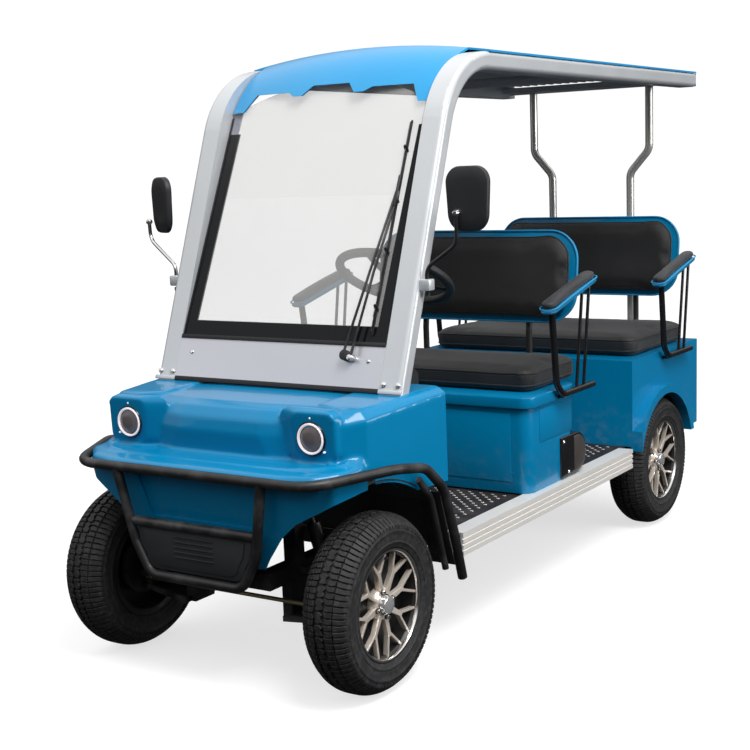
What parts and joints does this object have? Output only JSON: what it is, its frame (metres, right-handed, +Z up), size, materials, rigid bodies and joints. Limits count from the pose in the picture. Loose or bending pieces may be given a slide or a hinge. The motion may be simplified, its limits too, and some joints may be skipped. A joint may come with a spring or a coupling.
{
  "type": "golf cart",
  "caption": "Open golf cart with two bench seats facing forward, a roof on two bent hoops, a windscreen, a front guard and four wheels; the front wheels steer.",
  "frame": {"origin": "on the ground, in the middle of the cart's length and width", "axes": "+X to the driver's left, +Y to the rear, +Z up"},
  "size_m": [1.394, 2.896, 1.8981],
  "materials": {
    "body_paint": "deep glossy blue, moulded and lacquered",
    "frame_steel": "black paint on welded steel",
    "black_steel": "satin black powder coat",
    "floor_mat": "dark mat with small bright studs",
    "sill_metal": "satin extruded aluminium",
    "black_plastic": "moulded black plastic, fine grain",
    "lamp_glass": "clear lamp lens over a bright ring",
    "tail_red": "red lamp lens",
    "clear_glass": "clear safety glass with a black painted border",
    "hoop_metal": "satin silver",
    "upright_steel": "satin steel tube, slightly warm",
    "seat_vinyl": "matte black vinyl",
    "wheel_metal": "polished face with dark pockets",
    "tyre": "black rubber",
    "zinc_steel": "yellow zinc plate"
  },
  "bodies": {
    "chassis": {"arch_liners": "black_plastic", "armrest_pads": "seat_vinyl", "battery_pack": "black_plastic", "bumper_bar": "black_steel", "chassis_frame": "frame_steel", "dash": "black_plastic", "drive_motor": "frame_steel", "floor_pan": "floor_mat", "front_armrest_frames": "black_steel", "front_back": "seat_vinyl", "front_body": "body_paint", "front_cushion": "seat_vinyl", "front_seat_box": "body_paint", "front_suspension": "black_steel", "front_valance": "body_paint", "guard_frame": "black_steel", "guard_plate": "black_plastic", "headlights": "lamp_glass", "mirror_left": "black_plastic", "mirror_right": "black_plastic", "nose_frame": "frame_steel", "pedals": "black_steel", "rear_armrest_frames": "black_steel", "rear_axle": "frame_steel", "rear_back": "seat_vinyl", "rear_body": "body_paint", "rear_cushion": "seat_vinyl", "rear_springs": "black_steel", "rear_uprights": "upright_steel", "roof_crossbars": "hoop_metal", "roof_hoop_left": "hoop_metal", "roof_hoop_right": "hoop_metal", "roof_panel": "body_paint", "seat_back_posts": "black_steel", "side_box": "black_plastic", "sill_left": "sill_metal", "sill_right": "sill_metal", "steering_column": "black_plastic", "tail_lamps": "tail_red", "tow_plate": "black_steel", "windscreen_glass": "clear_glass", "windscreen_panel": "hoop_metal", "wiper": "black_plastic"},
    "knuckle_left": {"knuckle_left": "frame_steel"},
    "knuckle_right": {"knuckle_right": "frame_steel"},
    "track_rod": {"track_rod": "zinc_steel"},
    "steering_wheel": {"steering_wheel": "black_plastic"},
    "wheel_front_left": {"tyre_front_left": "tyre", "rim_front_left": "wheel_metal"},
    "wheel_front_right": {"tyre_front_right": "tyre", "rim_front_right": "wheel_metal"},
    "wheel_rear_left": {"tyre_rear_left": "tyre", "rim_rear_left": "wheel_metal"},
    "wheel_rear_right": {"tyre_rear_right": "tyre", "rim_rear_right": "wheel_metal"}
  },
  "joints": [
    {"name": "steer_left", "type": "hinge", "parent": "chassis", "child": "knuckle_left", "pos_m": [0.4, -1.18, 0.266], "axis": [0, 0, 1], "range_deg": [-30, 30]},
    {"name": "steer_right", "type": "hinge", "parent": "chassis", "child": "knuckle_right", "pos_m": [-0.4, -1.18, 0.266], "axis": [0, 0, 1], "range_deg": [-30, 30]},
    {"name": "steering_wheel_turn", "type": "hinge", "parent": "chassis", "child": "steering_wheel", "pos_m": [0.2, -0.585, 1.15], "axis": [0, 0.5, 0.866], "range_deg": [-270, 270]},
    {"name": "track_rod_slide", "type": "slide", "parent": "chassis", "child": "track_rod", "axis": [1, 0, 0], "range_m": [-0.036, 0.036]},
    {"name": "spin_front_left", "type": "hinge", "parent": "knuckle_left", "child": "wheel_front_left", "pos_m": [0.461, -1.18, 0.266], "axis": [1, 0, 0], "continuous": true},
    {"name": "spin_front_right", "type": "hinge", "parent": "knuckle_right", "child": "wheel_front_right", "pos_m": [-0.461, -1.18, 0.266], "axis": [1, 0, 0], "continuous": true},
    {"name": "spin_rear_left", "type": "hinge", "parent": "chassis", "child": "wheel_rear_left", "pos_m": [0.461, 0.91, 0.266], "axis": [1, 0, 0], "continuous": true},
    {"name": "spin_rear_right", "type": "hinge", "parent": "chassis", "child": "wheel_rear_right", "pos_m": [-0.461, 0.91, 0.266], "axis": [1, 0, 0], "continuous": true}
  ],
  "couplings": [
    {"joint": "steer_right", "follows": "steer_left", "ratio": 1},
    {"joint": "steering_wheel_turn", "follows": "steer_left", "ratio": 9},
    {"joint": "track_rod_slide", "follows": "steer_left", "m_per_rad": 0.064}
  ]
}
